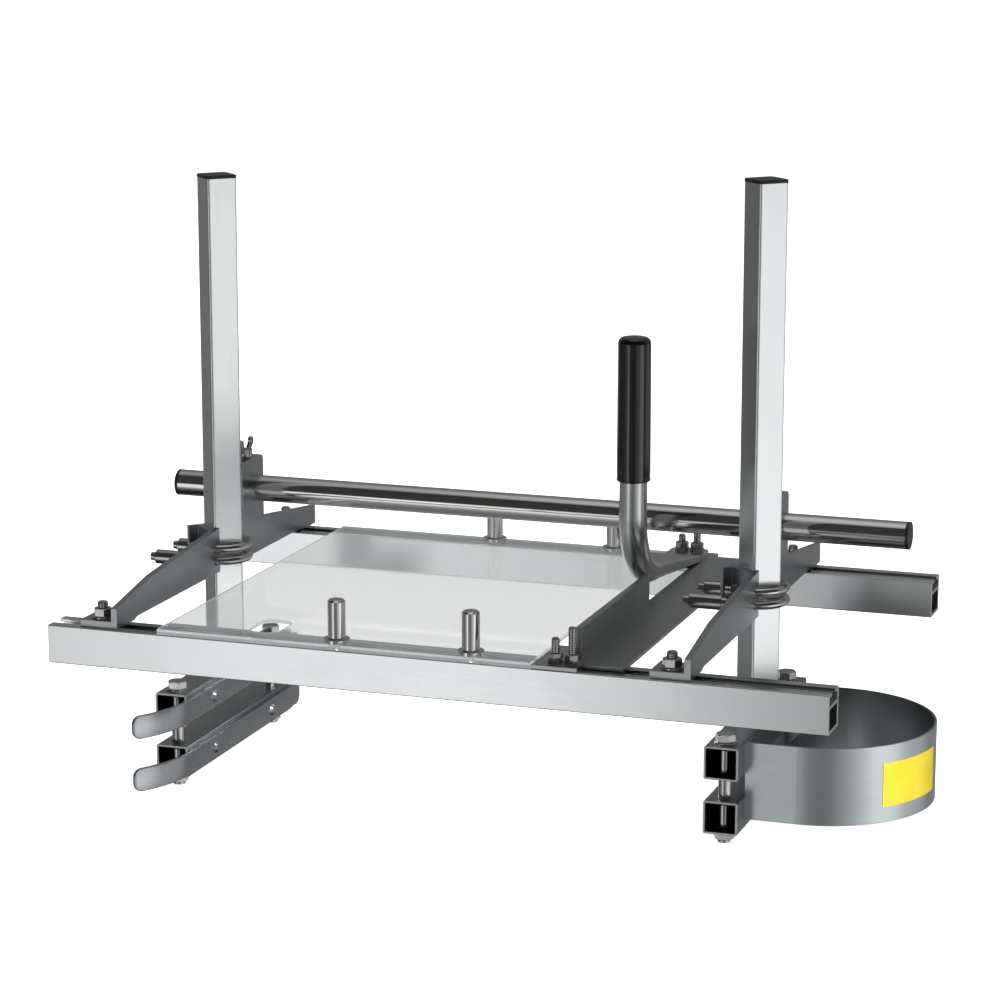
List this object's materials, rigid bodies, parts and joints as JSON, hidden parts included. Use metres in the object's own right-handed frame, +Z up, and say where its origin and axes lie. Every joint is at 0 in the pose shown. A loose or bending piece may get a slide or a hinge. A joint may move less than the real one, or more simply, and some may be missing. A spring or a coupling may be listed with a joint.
{
  "type": "chainsaw log cutting frame",
  "caption": "Adjustable frame that clamps a chain saw's bar under two slotted rails, with height posts, nose guard and push handle, for sawing planks from a log.",
  "frame": {"origin": "middle of the front rail's underside", "axes": "+X along the rails towards the nose guard, +Y from the front rail to the back rail, +Z up"},
  "size_m": [0.6616, 0.402, 0.497],
  "materials": {
    "rail": "brushed anodised",
    "post": "satin anodised",
    "bracket": "satin",
    "jaw": "satin",
    "sheet": "satin",
    "bright_steel": "polished",
    "zinc": "zinc plated",
    "clear": "clear",
    "plastic": "moulded",
    "grip": "glossy"
  },
  "bodies": {
    "frame": {"front_rail": "rail", "back_rail": "rail", "clear_plate": "clear", "stud_pins": "bright_steel", "stud_bolts": "zinc"},
    "left_end": {"left_end_bracket": "bracket", "left_bracket_bolts": "zinc", "left_bracket_nuts": "zinc", "left_u_bolts": "bright_steel", "left_u_bolt_nuts": "zinc"},
    "left_wing": {"left_wing_screw": "zinc"},
    "right_end": {"right_end_bracket": "bracket", "right_bracket_bolts": "zinc", "right_bracket_nuts": "zinc", "right_u_bolts": "bright_steel", "right_u_bolt_nuts": "zinc"},
    "right_wing": {"right_wing_screw": "zinc"},
    "bar": {"round_bar": "bright_steel", "left_bar_plug": "plastic", "right_bar_plug": "plastic"},
    "left_mast": {"left_post": "post", "left_post_cap": "plastic", "left_upper_jaw": "jaw", "left_jaw_bolts": "zinc", "left_upper_strip": "sheet", "left_upper_strip_rivets": "zinc"},
    "left_low_jaw": {"left_lower_jaw": "jaw", "left_jaw_nuts": "zinc", "left_lower_strip": "sheet", "left_lower_strip_rivets": "zinc"},
    "right_mast": {"right_post": "post", "right_post_cap": "plastic", "right_upper_jaw": "jaw", "right_jaw_bolts": "zinc", "nose_guard": "sheet", "guard_screws": "zinc"},
    "right_low_jaw": {"right_lower_jaw": "jaw", "right_jaw_nuts": "zinc"},
    "cross": {"cross_member": "bracket", "cross_member_bolts": "zinc", "cross_member_nuts": "zinc", "push_handle": "bright_steel", "handle_grip": "grip"}
  },
  "joints": [
    {"name": "left_end_slide", "type": "slide", "parent": "frame", "child": "left_end", "axis": [1, 0, 0], "range_m": [-0.02, 0.015]},
    {"name": "right_end_slide", "type": "slide", "parent": "frame", "child": "right_end", "axis": [1, 0, 0], "range_m": [-0.008, 0.07]},
    {"name": "left_post_slide", "type": "slide", "parent": "left_end", "child": "left_mast", "axis": [0, 0, 1], "range_m": [-0.26, 0.06]},
    {"name": "right_post_slide", "type": "slide", "parent": "right_end", "child": "right_mast", "axis": [0, 0, 1], "range_m": [-0.26, 0.06]},
    {"name": "left_jaw_slide", "type": "slide", "parent": "left_mast", "child": "left_low_jaw", "axis": [0, 0, 1], "range_m": [0, 0.016]},
    {"name": "right_jaw_slide", "type": "slide", "parent": "right_mast", "child": "right_low_jaw", "axis": [0, 0, 1], "range_m": [0, 0.016]},
    {"name": "bar_slide", "type": "slide", "parent": "left_end", "child": "bar", "axis": [1, 0, 0], "range_m": [-0.015, 0.015]},
    {"name": "left_wing_turn", "type": "hinge", "parent": "left_end", "child": "left_wing", "pos_m": [-0.257, 0.252, 0.115], "axis": [0, 0, 1], "range_deg": [-90, 180]},
    {"name": "right_wing_turn", "type": "hinge", "parent": "right_end", "child": "right_wing", "pos_m": [0.199, 0.252, 0.115], "axis": [0, 0, 1], "range_deg": [-90, 180]},
    {"name": "cross_slide", "type": "slide", "parent": "frame", "child": "cross", "axis": [1, 0, 0], "range_m": [-0.001, 0.008]}
  ]
}
